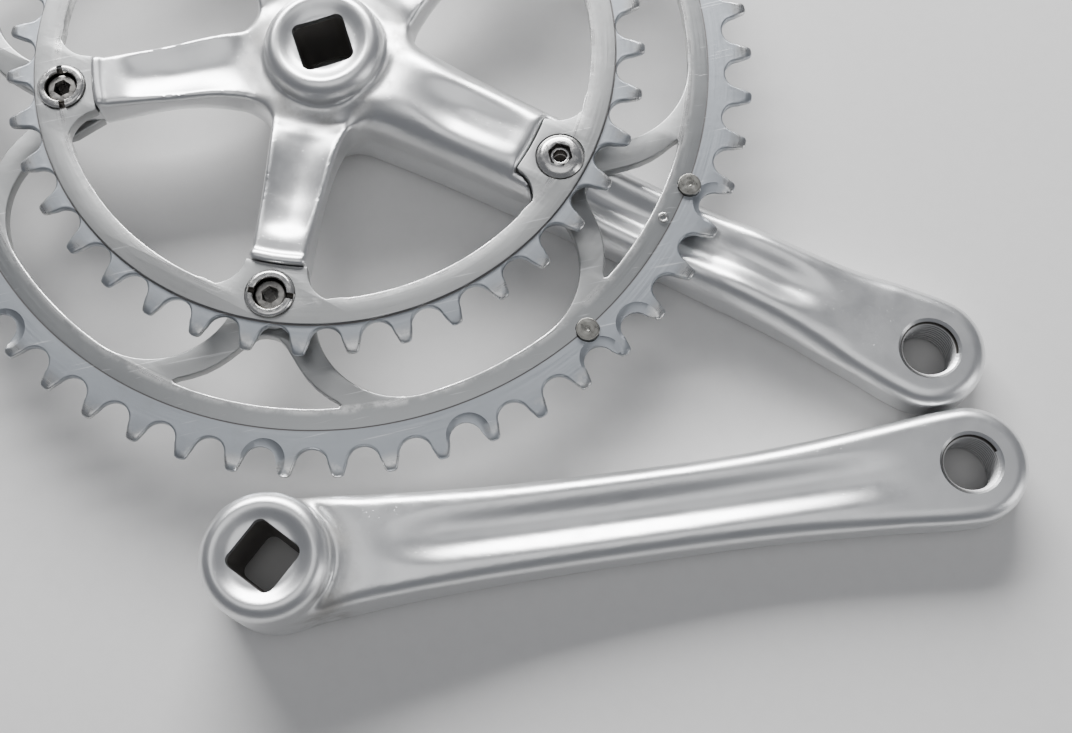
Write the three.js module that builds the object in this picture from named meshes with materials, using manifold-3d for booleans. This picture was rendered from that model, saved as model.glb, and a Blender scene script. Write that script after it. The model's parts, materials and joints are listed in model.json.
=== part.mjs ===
// Road-bike crankset: a drive-side crank with its spider and two chainrings, and the left crank.
// The two halves lie side by side on their outboard faces, inboard side up. Millimetres, +Z up.
import * as THREE from "three";
import { mergeVertices } from "three/addons/utils/BufferGeometryUtils.js";
import Module from "manifold-3d";

const wasm = await Module();
wasm.setup();

// ---------------------------------------------------------------- driving dimensions

const GAP = 0.3; // clearance between pieces that touch

const CRANK_LENGTH = 170; // spindle axis to pedal axis
const BOLT_CIRCLE = 67.5; // radius of the five chainring bolts
const CHAIN_PITCH = 12.7;
const SEAT_RADIUS = 4.05; // tooth gap, for a 7.75 mm roller

// Heights above the table of the drive side's layers, outboard face down.
const OUTER_RING = { low: 14.5, high: 18 };
const TAB = { low: OUTER_RING.high + GAP, high: 22.2 };
const INNER_RING = { low: TAB.high + GAP, high: 26 };
const LEDGE_HEIGHT = OUTER_RING.low - GAP; // crank arm under the outer ring
const TOOTH_INSET = 0.7; // the toothed band is thinner than its ring by this on each face

// Spider
const SHOULDER_RADIUS = 59.5; // where the spider arms step down to their tabs
const SPIDER_ANGLES = [72, 144, 216, 288];
const TAB_HALF_WIDTH = 6.7;

// Boss and square-taper socket
const BOSS_RADIUS = 15.4;
const DRIVE_BOSS_HEIGHT = 31;
const LEFT_BOSS_HEIGHT = 28;
const SOCKET_MOUTH = 13.4; // across flats at the inboard face
const SOCKET_END = 12; // across flats where the extractor bore starts
const SOCKET_CORNER_RADIUS = 8.4;
const EXTRACTOR_RADIUS = 10.9;
const EXTRACTOR_DEPTH = 9.5;

// Crank arm
const ARM_WIDTH = 22;
const EYE_RADIUS = 14.5;
const EYE_THICKNESS = 13.5;
const PEDAL_HOLE_RADIUS = 6.9;
const GROOVE_HALF_WIDTH = 3.6;
const GROOVE_SLOPE = 2.2;

// Chainring hardware
const SLEEVE_RADIUS = 5;
const SHANK_RADIUS = 4;
const FLANGE_RADIUS = 6;
const FLANGE_HEIGHT = 1.7;
const COUNTERBORE = 1; // the flanges are let into the rings by this
const BOLT_HOLE_RADIUS = SLEEVE_RADIUS + GAP;
const HEX_SOCKET = 5; // across flats
const SLOT_WIDTH = 1.4;
const SLOT_DEPTH = 1.1;

// Shift-aid pins, pressed into the outer ring on its step
const PIN_RADIUS = 2.9;
const PIN_CIRCLE = 99.2;
const PIN_ANGLES = [6.4, -20.7, -122.8, 186.4, 159.3, 57.2];

// Hollow pin on the crank arm's own line, which keeps a dropped chain off the arm
const DROP_PIN = { circle: 96.6, radius: 1.35, bore: 0.6 };

// Where the left crank lies beside the drive side
const LEFT_CRANK = { x: 51.5, y: -120.5, angle: 35.3 };

// ---------------------------------------------------------------- helpers

const radians = THREE.MathUtils.degToRad;

function toSolid(geometry) {
  const bare = geometry.clone();
  bare.deleteAttribute("normal");
  bare.deleteAttribute("uv");
  const welded = mergeVertices(bare, 1e-4);
  return new wasm.Manifold(new wasm.Mesh({
    numProp: 3,
    vertProperties: new Float32Array(welded.attributes.position.array),
    triVerts: new Uint32Array(welded.index.array),
  }));
}

function toGeometry(solid) {
  const mesh = solid.getMesh();
  const geometry = new THREE.BufferGeometry();
  geometry.setAttribute("position", new THREE.BufferAttribute(mesh.vertProperties, 3));
  geometry.setIndex(new THREE.BufferAttribute(mesh.triVerts, 1));
  const faceted = geometry.toNonIndexed();
  faceted.computeVertexNormals();
  return faceted;
}

// A solid turned about Z from a closed or axis-to-axis profile of [radius, height] points.
function turned(profile, segments) {
  const points = profile.map(([radius, height]) => new THREE.Vector2(radius, height));
  return toSolid(new THREE.LatheGeometry(points, segments).rotateX(Math.PI / 2));
}

function disc(radius, low, high, segments) {
  return turned([[0, low], [radius, low], [radius, high], [0, high]], segments);
}

function prism(radius, low, high, sides, endRadius = radius) {
  const geometry = new THREE.CylinderGeometry(radius, endRadius, high - low, sides);
  return toSolid(geometry.rotateX(Math.PI / 2).translate(0, 0, (low + high) / 2));
}

function plate(outline, low, high, holes = []) {
  const shape = new THREE.Shape(outline);
  shape.holes = holes.map((hole) => new THREE.Path(hole));
  const geometry = new THREE.ExtrudeGeometry(shape, { depth: high - low, bevelEnabled: false });
  return toSolid(geometry.translate(0, 0, low));
}

function polar(radius, degrees) {
  return new THREE.Vector2(radius * Math.cos(radians(degrees)), radius * Math.sin(radians(degrees)));
}

// Points on an arc about a centre, both ends included.
function arc(centre, radius, fromDegrees, toDegrees, steps) {
  return Array.from({ length: steps + 1 }, (_, step) => {
    const degrees = fromDegrees + ((toDegrees - fromDegrees) * step) / steps;
    return polar(radius, degrees).add(centre);
  });
}

const ORIGIN = new THREE.Vector2(0, 0);

function circle(centre, radius, segments) {
  return arc(centre, radius, 0, 360, segments).slice(0, segments);
}

function turnPoints(points, degrees) {
  return points.map((point) => point.clone().rotateAround(ORIGIN, radians(degrees)));
}

function mirrored(points) {
  return points.map((point) => new THREE.Vector2(point.x, -point.y)).reverse();
}

// The value at x of a smooth run through [x, value] stations.
function along(stations, x) {
  if (x <= stations[0][0]) return stations[0][1];
  const next = stations.findIndex(([end]) => end >= x);
  if (next < 0) return stations[stations.length - 1][1];
  const [startX, startValue] = stations[next - 1];
  const [endX, endValue] = stations[next];
  const share = (x - startX) / (endX - startX);
  return startValue + (endValue - startValue) * share * share * (3 - 2 * share);
}

// ---------------------------------------------------------------- chainrings

// The outline of a chainring's teeth: a roller seat between each pair of blunt tips.
function toothOutline(teeth, firstToothDegrees) {
  const pitchAngle = 360 / teeth;
  const pitchRadius = CHAIN_PITCH / 2 / Math.sin(radians(pitchAngle / 2));
  const tipRadius = pitchRadius + 3.1;
  const tipHalfAngle = THREE.MathUtils.radToDeg(1.5 / tipRadius);
  const points = [];
  for (let tooth = 0; tooth < teeth; tooth += 1) {
    const toothAngle = firstToothDegrees + tooth * pitchAngle;
    const seatAngle = toothAngle + pitchAngle / 2;
    const seat = arc(polar(pitchRadius, seatAngle), SEAT_RADIUS, seatAngle + 268, seatAngle + 92, 4);
    points.push(polar(tipRadius, toothAngle - tipHalfAngle));
    points.push(polar(tipRadius, toothAngle + tipHalfAngle));
    points.push(...seat);
  }
  return points;
}

// Five tabs hang from a ring's inner edge. halfTab is one side of a tab's outline, on its +Y side,
// running from the tab's end out to the ring's inner edge.
function innerEdge(halfTab, edgeRadius, edgeFromDegrees) {
  const steps = 4;
  const rimArc = arc(ORIGIN, edgeRadius, edgeFromDegrees, 72 - edgeFromDegrees, steps);
  const period = [...mirrored(halfTab), ...halfTab, ...rimArc.slice(1, steps)];
  return [0, 1, 2, 3, 4].flatMap((tab) => turnPoints(period, tab * 72));
}

function boltHoles(low, high, radius) {
  return [0, 72, 144, 216, 288].map((degrees) => {
    const centre = polar(BOLT_CIRCLE, degrees);
    return disc(radius, low, high, 20).translate([centre.x, centre.y, 0]);
  });
}

function cutAll(solid, cutters) {
  return cutters.reduce((rest, cutter) => rest.subtract(cutter), solid);
}

function chainring({ teeth, firstTooth, layer, stepRadius, edge, windows }) {
  const toothed = plate(
    toothOutline(teeth, firstTooth),
    layer.low + TOOTH_INSET,
    layer.high - TOOTH_INSET,
    [circle(ORIGIN, stepRadius - 2, 60)],
  );
  const body = plate(circle(ORIGIN, stepRadius, 80), layer.low, layer.high, [edge, ...windows]);
  return toothed.add(body);
}

function innerChainring() {
  const edgeRadius = 68.2;
  const halfTab = [
    polar(SHOULDER_RADIUS + GAP, 3.3),
    polar(SHOULDER_RADIUS + GAP, 6.5),
    ...arc(new THREE.Vector2(58.9, 15.9), 8.1, -65, -15, 3),
    polar(edgeRadius, 15.5),
  ];
  const ring = chainring({
    teeth: 39,
    firstTooth: 27.1,
    layer: INNER_RING,
    stepRadius: 74.4,
    edge: innerEdge(halfTab, edgeRadius, 15.5),
    windows: [],
  });
  const seats = boltHoles(INNER_RING.high - COUNTERBORE, INNER_RING.high + 1, FLANGE_RADIUS + GAP);
  const holes = boltHoles(INNER_RING.low - 1, INNER_RING.high + 1, BOLT_HOLE_RADIUS);
  return cutAll(ring, [...seats, ...holes]);
}

function outerChainring() {
  const edgeRadius = 93.4;
  const cornerRadius = 21.8;
  const cornerAngle = 26;
  const cornerCentre = polar(edgeRadius - cornerRadius, cornerAngle);
  const halfTab = [
    polar(SHOULDER_RADIUS + GAP, 3.2),
    polar(SHOULDER_RADIUS + GAP, 6.3),
    ...arc(cornerCentre, cornerRadius, 277, 360 + cornerAngle, 7),
  ];
  // The strut window behind each bolt: a curved triangle under the rim.
  const windowSide = [
    polar(75.6, 1.5),
    polar(79.6, 4.4),
    polar(84.6, 6.9),
    polar(89, 9.8),
    polar(92.6, 12.9),
    polar(edgeRadius, 12.6),
    polar(edgeRadius, 6),
  ];
  const strutWindow = [...windowSide, ...mirrored(windowSide)];
  const ring = chainring({
    teeth: 53,
    firstTooth: 28.6,
    layer: OUTER_RING,
    stepRadius: 98.6,
    edge: innerEdge(halfTab, edgeRadius, cornerAngle),
    windows: [0, 1, 2, 3, 4].map((tab) => turnPoints(strutWindow, tab * 72)),
  });
  const seats = boltHoles(OUTER_RING.low - 1, OUTER_RING.low + COUNTERBORE, FLANGE_RADIUS + GAP);
  const holes = boltHoles(OUTER_RING.low - 1, OUTER_RING.high + 1, BOLT_HOLE_RADIUS);
  const pinHoles = PIN_ANGLES.map((degrees) => pinAt(degrees, PIN_RADIUS + GAP, -1, 1));
  const dropPinHole = disc(DROP_PIN.radius + GAP, OUTER_RING.low - 1, OUTER_RING.high + 1, 12)
    .translate([DROP_PIN.circle, 0, 0]);
  return cutAll(ring, [...seats, ...holes, ...pinHoles, dropPinHole]);
}

// ---------------------------------------------------------------- pins

function pinAt(degrees, radius, lowExtra, highExtra) {
  const centre = polar(PIN_CIRCLE, degrees);
  const pin = disc(radius, OUTER_RING.low + lowExtra, OUTER_RING.high + highExtra, 16);
  return pin.translate([centre.x, centre.y, 0]);
}

function chainDropPin() {
  const low = OUTER_RING.low;
  const high = OUTER_RING.high + 0.3;
  const { radius, bore } = DROP_PIN;
  const tube = turned([[bore, low], [radius, low], [radius, high], [bore, high], [bore, low]], 12);
  return tube.translate([DROP_PIN.circle, 0, 0]);
}

// ---------------------------------------------------------------- chainring hardware

function hexSocket(low, high) {
  return prism(HEX_SOCKET / 2 / Math.cos(radians(30)), low, high, 6);
}

// Sleeve nut with a flange and two driver slots across it, which lie along the ring.
function chainringNut() {
  const flangeLow = INNER_RING.high - COUNTERBORE + GAP;
  const top = flangeLow + FLANGE_HEIGHT;
  const bottom = OUTER_RING.low + COUNTERBORE + 1.6;
  const bore = SHANK_RADIUS + GAP;
  const edge = 0.5;
  const body = turned([
    [bore, bottom],
    [SLEEVE_RADIUS, bottom],
    [SLEEVE_RADIUS, flangeLow],
    [FLANGE_RADIUS, flangeLow],
    [FLANGE_RADIUS, top - edge],
    [FLANGE_RADIUS - edge, top],
    [bore, top],
    [bore, bottom],
  ], 20);
  const slot = new THREE.BoxGeometry(SLOT_WIDTH, 4 * FLANGE_RADIUS, 2 * SLOT_DEPTH);
  return body.subtract(toSolid(slot.translate(0, 0, top)));
}

function chainringBolt() {
  const headTop = OUTER_RING.low + COUNTERBORE - GAP;
  const headBottom = headTop - FLANGE_HEIGHT;
  const end = INNER_RING.high - 0.4;
  const edge = 0.6;
  const body = turned([
    [0, headBottom],
    [FLANGE_RADIUS - edge, headBottom],
    [FLANGE_RADIUS, headBottom + edge],
    [FLANGE_RADIUS, headTop],
    [SHANK_RADIUS, headTop],
    [SHANK_RADIUS, end - edge],
    [SHANK_RADIUS - edge, end],
    [0, end],
  ], 20);
  return body.subtract(hexSocket(headBottom - 1, end + 1));
}

// The fifth bolt passes both rings and their spacer and screws into the crank arm.
const ARM_BOLT_END = 5;

function armBolt() {
  const headLow = INNER_RING.high - COUNTERBORE + GAP;
  const top = headLow + FLANGE_HEIGHT + 0.3;
  const body = turned([
    [0, ARM_BOLT_END],
    [SHANK_RADIUS - 0.6, ARM_BOLT_END],
    [SHANK_RADIUS, ARM_BOLT_END + 0.6],
    [SHANK_RADIUS, headLow],
    [FLANGE_RADIUS, headLow],
    [FLANGE_RADIUS, headLow + 0.5],
    [FLANGE_RADIUS - 1.2, top - 0.3],
    [FLANGE_RADIUS - 2.4, top],
    [0, top],
  ], 20);
  return body.subtract(hexSocket(top - 4, top + 1));
}

function armBoltSpacer() {
  const bore = SHANK_RADIUS + GAP;
  const { low, high } = TAB;
  const rim = TAB_HALF_WIDTH;
  return turned([[bore, low], [rim, low], [rim, high], [bore, high], [bore, low]], 20);
}

// ---------------------------------------------------------------- forged arms

// One closed cross-section of an arm that runs along X: its sides curve in under it by `under`,
// its top edges are rounded, and a flat-bottomed groove runs along the top.
function armSection(x, { halfWidth, low, high, under, highEdge, groove }) {
  const inward = Math.min(under.inward, halfWidth * 0.75);
  const highRound = Math.min(highEdge, halfWidth * 0.45);
  const crest = Math.min(GROOVE_HALF_WIDTH + GROOVE_SLOPE, (halfWidth - highRound) * 0.9);
  const floor = (crest * GROOVE_HALF_WIDTH) / (GROOVE_HALF_WIDTH + GROOVE_SLOPE);
  const side = [
    ...arc(ORIGIN, 1, -90, 0, 4).map((point) => new THREE.Vector2(
      halfWidth - inward * (1 - point.x),
      low + under.upward * (1 + point.y),
    )),
    ...arc(new THREE.Vector2(halfWidth - highRound, high - highRound), highRound, 0, 90, 4),
    new THREE.Vector2(crest, high),
    new THREE.Vector2(floor, high - groove),
  ];
  const otherSide = side.map((point) => new THREE.Vector2(-point.x, point.y)).reverse();
  return [...side, ...otherSide].map((point) => new THREE.Vector3(x, point.x, point.y));
}

// A closed solid through a row of sections that all have the same number of points.
function loft(sections) {
  const size = sections[0].length;
  const positions = sections.flat().flatMap((point) => point.toArray());
  const faces = [];
  for (let row = 0; row + 1 < sections.length; row += 1) {
    for (let point = 0; point < size; point += 1) {
      const here = row * size + point;
      const beside = row * size + ((point + 1) % size);
      faces.push(here, beside, here + size, beside, beside + size, here + size);
    }
  }
  for (const [row, flip] of [[0, true], [sections.length - 1, false]]) {
    const middle = sections[row].reduce((sum, point) => sum.add(point), new THREE.Vector3());
    const centre = positions.length / 3;
    positions.push(...middle.divideScalar(size).toArray());
    for (let point = 0; point < size; point += 1) {
      const here = row * size + point;
      const beside = row * size + ((point + 1) % size);
      faces.push(...(flip ? [beside, here, centre] : [here, beside, centre]));
    }
  }
  const geometry = new THREE.BufferGeometry();
  geometry.setAttribute("position", new THREE.Float32BufferAttribute(positions, 3));
  geometry.setIndex(faces);
  return toSolid(geometry);
}

// A crank arm from the spindle axis to its round pedal eye, flat on its outboard face.
function crankArm(topRun, grooveRun, widthRun, lengthSteps) {
  const eyeTurns = [15, 30, 45, 60, 75, 84];
  const straight = lengthSteps.map((x) => ({ x, halfWidth: along(widthRun, x) }));
  const round = eyeTurns.map((turn) => ({
    x: CRANK_LENGTH + EYE_RADIUS * Math.sin(radians(turn)),
    halfWidth: EYE_RADIUS * Math.cos(radians(turn)),
  }));
  return loft([...straight, ...round].map(({ x, halfWidth }) => armSection(x, {
    halfWidth,
    low: 0,
    high: along(topRun, x),
    under: { inward: 3.5, upward: 3.5 },
    highEdge: 4,
    groove: along(grooveRun, x),
  })));
}

function pedalHole() {
  const edge = 0.7;
  const radius = PEDAL_HOLE_RADIUS;
  const hole = turned([
    [0, -1],
    [radius, -1],
    [radius, EYE_THICKNESS - edge],
    [radius + edge, EYE_THICKNESS],
    [radius + edge, EYE_THICKNESS + 2],
    [0, EYE_THICKNESS + 2],
  ], 28);
  return hole.translate([CRANK_LENGTH, 0, 0]);
}

// Boss with a raised round lip about the mouth of the socket.
function boss(height) {
  return turned([
    [0, 0],
    [BOSS_RADIUS - 1.5, 0],
    [BOSS_RADIUS, 1.5],
    [BOSS_RADIUS, height - 4],
    [BOSS_RADIUS - 0.7, height - 1.2],
    [BOSS_RADIUS - 2, height],
    [BOSS_RADIUS - 4.6, height],
    [BOSS_RADIUS - 6, height - 0.8],
    [0, height - 0.8],
  ], 40);
}

// The spindle's socket: a tapered square, one diagonal along the arm, then the round extractor bore.
function spindleSocket(height) {
  const mouth = SOCKET_MOUTH / Math.SQRT2;
  const end = SOCKET_END / Math.SQRT2;
  const square = prism(mouth, EXTRACTOR_DEPTH - 0.5, height + 0.5, 4, end);
  const corners = disc(SOCKET_CORNER_RADIUS, EXTRACTOR_DEPTH - 0.5, height + 0.5, 32);
  return square.intersect(corners).add(disc(EXTRACTOR_RADIUS, -1, EXTRACTOR_DEPTH, 32));
}

// One free arm of the spider along +X: a rounded bar that ends in a thin tab under the inner ring.
function spiderArm() {
  const bar = loft([8, 14, 20, 27, 36, 48, 58, 64].map((x) => armSection(x, {
    halfWidth: along([[8, 13.2], [16, 10.6], [25, 8.6], [36, 7.7], [50, 7], [60, 7]], x),
    low: along([[8, 4], [20, 8], [40, 12.4], [60, 13.5]], x),
    high: along([[8, 27.5], [16, 26], [24, 25.4], [45, 26.6], [60, 27.4]], x),
    under: {
      inward: along([[8, 4], [36, 6], [60, 2.5]], x),
      upward: along([[8, 8], [36, 11.5], [60, 4.5]], x),
    },
    highEdge: 2,
    groove: along([[16, 0], [30, 0.6], [52, 0.6], [60, 0]], x),
  })));
  const shoulder = disc(SHOULDER_RADIUS, 0, 40, 72);
  const tabEnd = new THREE.Vector2(BOLT_CIRCLE, 0);
  const tabOutline = [
    new THREE.Vector2(52, -TAB_HALF_WIDTH),
    ...arc(tabEnd, TAB_HALF_WIDTH, -90, 90, 8),
    new THREE.Vector2(52, TAB_HALF_WIDTH),
  ];
  const tab = plate(tabOutline, TAB.low, TAB.high, [circle(tabEnd, BOLT_HOLE_RADIUS, 20)]);
  return bar.intersect(shoulder).add(tab);
}

function driveCrankArm() {
  const lengthSteps = [0, 14, 22, 27, 33, 40, 48, 57, 63, 63.5, 70, 78, 90, 104, 118, 130, 142, 152, 162, 170];
  const topRun = [[0, 27.4], [63, 27.4], [63.5, LEDGE_HEIGHT], [118, LEDGE_HEIGHT], [150, EYE_THICKNESS]];
  const grooveRun = [[27, 0], [33, 1.8], [63, 1.8], [63.5, 0], [70, 0], [80, 1.8], [118, 1.8], [146, 0]];
  const widthRun = [[0, 14], [14, 13.4], [30, 12], [60, 11.2], [90, ARM_WIDTH / 2], [120, 11.2], [170, EYE_RADIUS]];
  const arm = crankArm(topRun, grooveRun, widthRun, lengthSteps);
  const ringSpace = turned([
    [SHOULDER_RADIUS, LEDGE_HEIGHT],
    [112, LEDGE_HEIGHT],
    [112, 40],
    [SHOULDER_RADIUS, 40],
    [SHOULDER_RADIUS, LEDGE_HEIGHT],
  ], 72);
  const spider = SPIDER_ANGLES.map((degrees) => spiderArm().rotate([0, 0, degrees]));
  const forging = spider.reduce((whole, piece) => whole.add(piece), boss(DRIVE_BOSS_HEIGHT));
  const boltHole = disc(SHANK_RADIUS + GAP, ARM_BOLT_END - GAP, 40, 20).translate([BOLT_CIRCLE, 0, 0]);
  return cutAll(forging.add(arm.subtract(ringSpace)), [
    spindleSocket(DRIVE_BOSS_HEIGHT),
    boltHole,
    pedalHole(),
  ]);
}

function leftCrankArm() {
  const lengthSteps = [0, 14, 22, 27, 34, 42, 54, 68, 84, 100, 116, 130, 142, 152, 162, 170];
  const topRun = [[0, 22.5], [14, 22], [40, 18.4], [84, 15], [130, 14], [150, EYE_THICKNESS]];
  const grooveRun = [[24, 0], [34, 1.8], [120, 1.8], [150, 0]];
  const widthRun = [[0, 14.4], [14, 13.4], [34, 12], [84, ARM_WIDTH / 2], [120, 11.2], [170, EYE_RADIUS]];
  const arm = crankArm(topRun, grooveRun, widthRun, lengthSteps);
  return cutAll(arm.add(boss(LEFT_BOSS_HEIGHT)), [spindleSocket(LEFT_BOSS_HEIGHT), pedalHole()]);
}

// ---------------------------------------------------------------- assembly

const forgedAlloy = new THREE.MeshStandardMaterial({ color: 0xc6c8ca, roughness: 0.28, metalness: 1 });
const anodisedAlloy = new THREE.MeshStandardMaterial({ color: 0xadb0b3, roughness: 0.46, metalness: 1 });
const platedSteel = new THREE.MeshStandardMaterial({ color: 0xd2d0cb, roughness: 0.2, metalness: 1 });

function piece(name, solid, material) {
  const mesh = new THREE.Mesh(toGeometry(solid), material);
  mesh.name = name;
  return mesh;
}

function onBoltCircle(mesh, degrees) {
  const centre = polar(BOLT_CIRCLE, degrees);
  mesh.position.set(centre.x, centre.y, 0);
  mesh.rotation.z = radians(degrees);
  return mesh;
}

const driveSide = new THREE.Group();
driveSide.add(
  piece("drive_crank_arm", driveCrankArm(), forgedAlloy),
  piece("inner_chainring", innerChainring(), anodisedAlloy),
  piece("outer_chainring", outerChainring(), anodisedAlloy),
  piece("chain_drop_pin", chainDropPin(), platedSteel),
  onBoltCircle(piece("arm_chainring_bolt", armBolt(), platedSteel), 0),
  onBoltCircle(piece("arm_bolt_spacer", armBoltSpacer(), platedSteel), 0),
);
SPIDER_ANGLES.forEach((degrees, index) => {
  driveSide.add(
    onBoltCircle(piece(`chainring_nut_${index + 1}`, chainringNut(), platedSteel), degrees),
    onBoltCircle(piece(`chainring_bolt_${index + 1}`, chainringBolt(), platedSteel), degrees),
  );
});
PIN_ANGLES.forEach((degrees, index) => {
  driveSide.add(piece(`shift_pin_${index + 1}`, pinAt(degrees, PIN_RADIUS, 0.2, 0.3), platedSteel));
});

const leftSide = new THREE.Group();
leftSide.add(piece("left_crank_arm", leftCrankArm(), forgedAlloy));
leftSide.position.set(LEFT_CRANK.x, LEFT_CRANK.y, 0);
leftSide.rotation.z = radians(LEFT_CRANK.angle);

// The set stands on the table with its origin at the bottom centre of its bounding box.
const crankset = new THREE.Group();
crankset.add(driveSide, leftSide);
const bounds = new THREE.Box3().setFromObject(crankset, true);
const middle = bounds.getCenter(new THREE.Vector3());
crankset.position.set(-middle.x, -middle.y, -bounds.min.z);

const model = new THREE.Group();
model.add(crankset);

export default model;
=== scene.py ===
"""The looks of the crankset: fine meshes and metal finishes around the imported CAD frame."""

import json
import math

import bmesh
import bpy
import numpy as np
from mathutils import Matrix, Vector

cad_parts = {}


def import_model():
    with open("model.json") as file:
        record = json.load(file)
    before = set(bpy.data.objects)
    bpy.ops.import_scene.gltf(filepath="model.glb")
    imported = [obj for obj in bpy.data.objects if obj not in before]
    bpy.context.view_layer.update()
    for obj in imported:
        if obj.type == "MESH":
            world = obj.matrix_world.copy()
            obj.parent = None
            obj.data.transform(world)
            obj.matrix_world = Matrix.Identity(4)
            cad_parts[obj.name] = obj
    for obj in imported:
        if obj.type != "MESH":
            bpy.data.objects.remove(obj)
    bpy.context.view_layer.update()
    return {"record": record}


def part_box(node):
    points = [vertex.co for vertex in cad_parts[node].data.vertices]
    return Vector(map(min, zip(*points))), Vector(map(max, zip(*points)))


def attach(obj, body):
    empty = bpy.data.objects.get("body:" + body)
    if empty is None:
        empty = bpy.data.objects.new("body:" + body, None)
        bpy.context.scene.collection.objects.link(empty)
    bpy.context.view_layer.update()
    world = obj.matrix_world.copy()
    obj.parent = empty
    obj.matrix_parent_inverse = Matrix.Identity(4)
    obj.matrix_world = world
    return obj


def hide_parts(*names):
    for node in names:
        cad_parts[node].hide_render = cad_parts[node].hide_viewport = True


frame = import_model()

# ------------------------------------------------------------------ places, from the frame

MM = 0.001  # shapes are worked out in millimetres
BOLTED = [f"chainring_bolt_{n}" for n in (1, 2, 3, 4)] + ["arm_chainring_bolt"]
MOUNTS = {mount["name"]: Vector(mount["pos_m"]) for mount in frame["record"]["mounts"]}


def centre(node):
    low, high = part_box(node)
    return (low + high) / 2


SPINDLE = sum((centre(node) for node in BOLTED), Vector()) / len(BOLTED)
BOLT_CIRCLE = (centre("arm_chainring_bolt") - SPINDLE).xy.length / MM
CRANK_LENGTH = 170.0
LIP_MOUNT = 12.1  # the spindle-face mount is this far from the socket's axis
EYE_MOUNT = 8.8  # the pedal-face mount is this far beside the pedal's axis

# The left crank's own direction, from its two mounts.
LEFT_RUN = (MOUNTS["left_pedal_face"] - MOUNTS["left_spindle_face"]).xy
LEFT_ANGLE = math.atan2(LEFT_RUN.y, LEFT_RUN.x) - math.atan2(EYE_MOUNT, CRANK_LENGTH - LIP_MOUNT)
LEFT_DIRECTION = Vector((math.cos(LEFT_ANGLE), math.sin(LEFT_ANGLE)))
LEFT_AXIS = MOUNTS["left_spindle_face"].xy - LIP_MOUNT * MM * LEFT_DIRECTION


def placed(x, y, angle):
    """Millimetres in a crank's own frame to metres in the row frame."""
    return Matrix.Translation((x, y, 0)) @ Matrix.Rotation(angle, 4, "Z") @ Matrix.Scale(MM, 4)


DRIVE = placed(SPINDLE.x, SPINDLE.y, 0)
LEFT = placed(LEFT_AXIS.x, LEFT_AXIS.y, LEFT_ANGLE)


def node_height(node):
    low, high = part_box(node)
    return low.z / MM, high.z / MM


OUTER_RING = node_height("outer_chainring")
INNER_RING = node_height("inner_chainring")
DRIVE_HEIGHT = node_height("drive_crank_arm")[1]
LEFT_HEIGHT = node_height("left_crank_arm")[1]
RING_PLAY = 0.3  # between a chainring and the tabs or the arm beside it
TAB = (OUTER_RING[1] + RING_PLAY, INNER_RING[0] - RING_PLAY)
LEDGE = OUTER_RING[0] - RING_PLAY
EYE_THICKNESS = 13.5
EYE_RADIUS = 14.5
BOSS_RADIUS = 15.4
SHOULDER_RADIUS = 59.5
NOTCH = (58.9, 15.9)  # the round notch between the deep arm's corner and the inner ring's tab
NOTCH_RADIUS = 7.9
FIVE = [72 * n for n in range(5)]

# ------------------------------------------------------------------ small tools


def polar(radius, degrees):
    turn = math.radians(degrees)
    return radius * math.cos(turn), radius * math.sin(turn)


def arc(middle, radius, start, end, steps):
    """Points of an arc about middle, in degrees, both ends included."""
    turns = [start + (end - start) * n / steps for n in range(steps + 1)]
    return [(middle[0] + polar(radius, t)[0], middle[1] + polar(radius, t)[1]) for t in turns]


def circle(middle, radius, steps):
    return arc(middle, radius, 0, 360, steps)[:-1]


def turned_points(points, degrees):
    cosine, sine = polar(1, degrees)
    return [(x * cosine - y * sine, x * sine + y * cosine) for x, y in points]


def mirrored(points):
    return [(x, -y) for x, y in reversed(points)]


def new_object(name, mesh):
    piece = bpy.data.objects.new(name, mesh)
    bpy.context.scene.collection.objects.link(piece)
    return piece


def mesh_object(name, vertices, faces, place=None):
    """A new object from vertices in millimetres, set in the row frame by place."""
    mesh = bpy.data.meshes.new(name)
    mesh.from_pydata([tuple(v) for v in vertices], [], [tuple(f) for f in faces])
    if place is not None:
        mesh.transform(place)
    mesh.update()
    return new_object(name, mesh)


def joined(target, *others):
    """Puts the meshes of the others into target."""
    work = bmesh.new()
    work.from_mesh(target.data)
    for other in others:
        work.from_mesh(other.data)
        bpy.data.objects.remove(other)
    work.to_mesh(target.data)
    work.free()
    return target


def cut(target, cutter):
    """Takes the cutter's solid out of target."""
    modifier = target.modifiers.new("cut", "BOOLEAN")
    modifier.operation = "DIFFERENCE"
    modifier.solver = "EXACT"
    modifier.object = cutter
    graph = bpy.context.evaluated_depsgraph_get()
    mesh = bpy.data.meshes.new_from_object(target.evaluated_get(graph))
    target.modifiers.clear()
    target.data = mesh
    bpy.data.objects.remove(cutter)
    return target


def shade(piece, degrees=32):
    """Smooth shading with edges sharper than the angle kept crisp."""
    mesh = piece.data
    mesh.shade_smooth()
    work = bmesh.new()
    work.from_mesh(mesh)
    limit = math.radians(degrees)
    for edge in work.edges:
        edge.smooth = len(edge.link_faces) == 2 and edge.calc_face_angle(0) < limit
    work.to_mesh(mesh)
    work.free()
    return piece


def lathe(name, profile, place, steps=64):
    """A solid turned about Z from a closed profile of (radius, height); points on the axis are shared."""
    vertices = []
    rings = []
    for radius, height in profile:
        if radius < 1e-6:
            rings.append([len(vertices)] * steps)
            vertices.append((0, 0, height))
        else:
            rings.append(list(range(len(vertices), len(vertices) + steps)))
            vertices += [(*polar(radius, 360 * n / steps), height) for n in range(steps)]
    faces = []
    for here, there in zip(rings, rings[1:] + rings[:1]):
        for n in range(steps):
            m = (n + 1) % steps
            face = list(dict.fromkeys([here[n], here[m], there[m], there[n]]))
            if len(face) > 2:
                faces.append(face)
    return mesh_object(name, vertices, faces, place)


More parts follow.
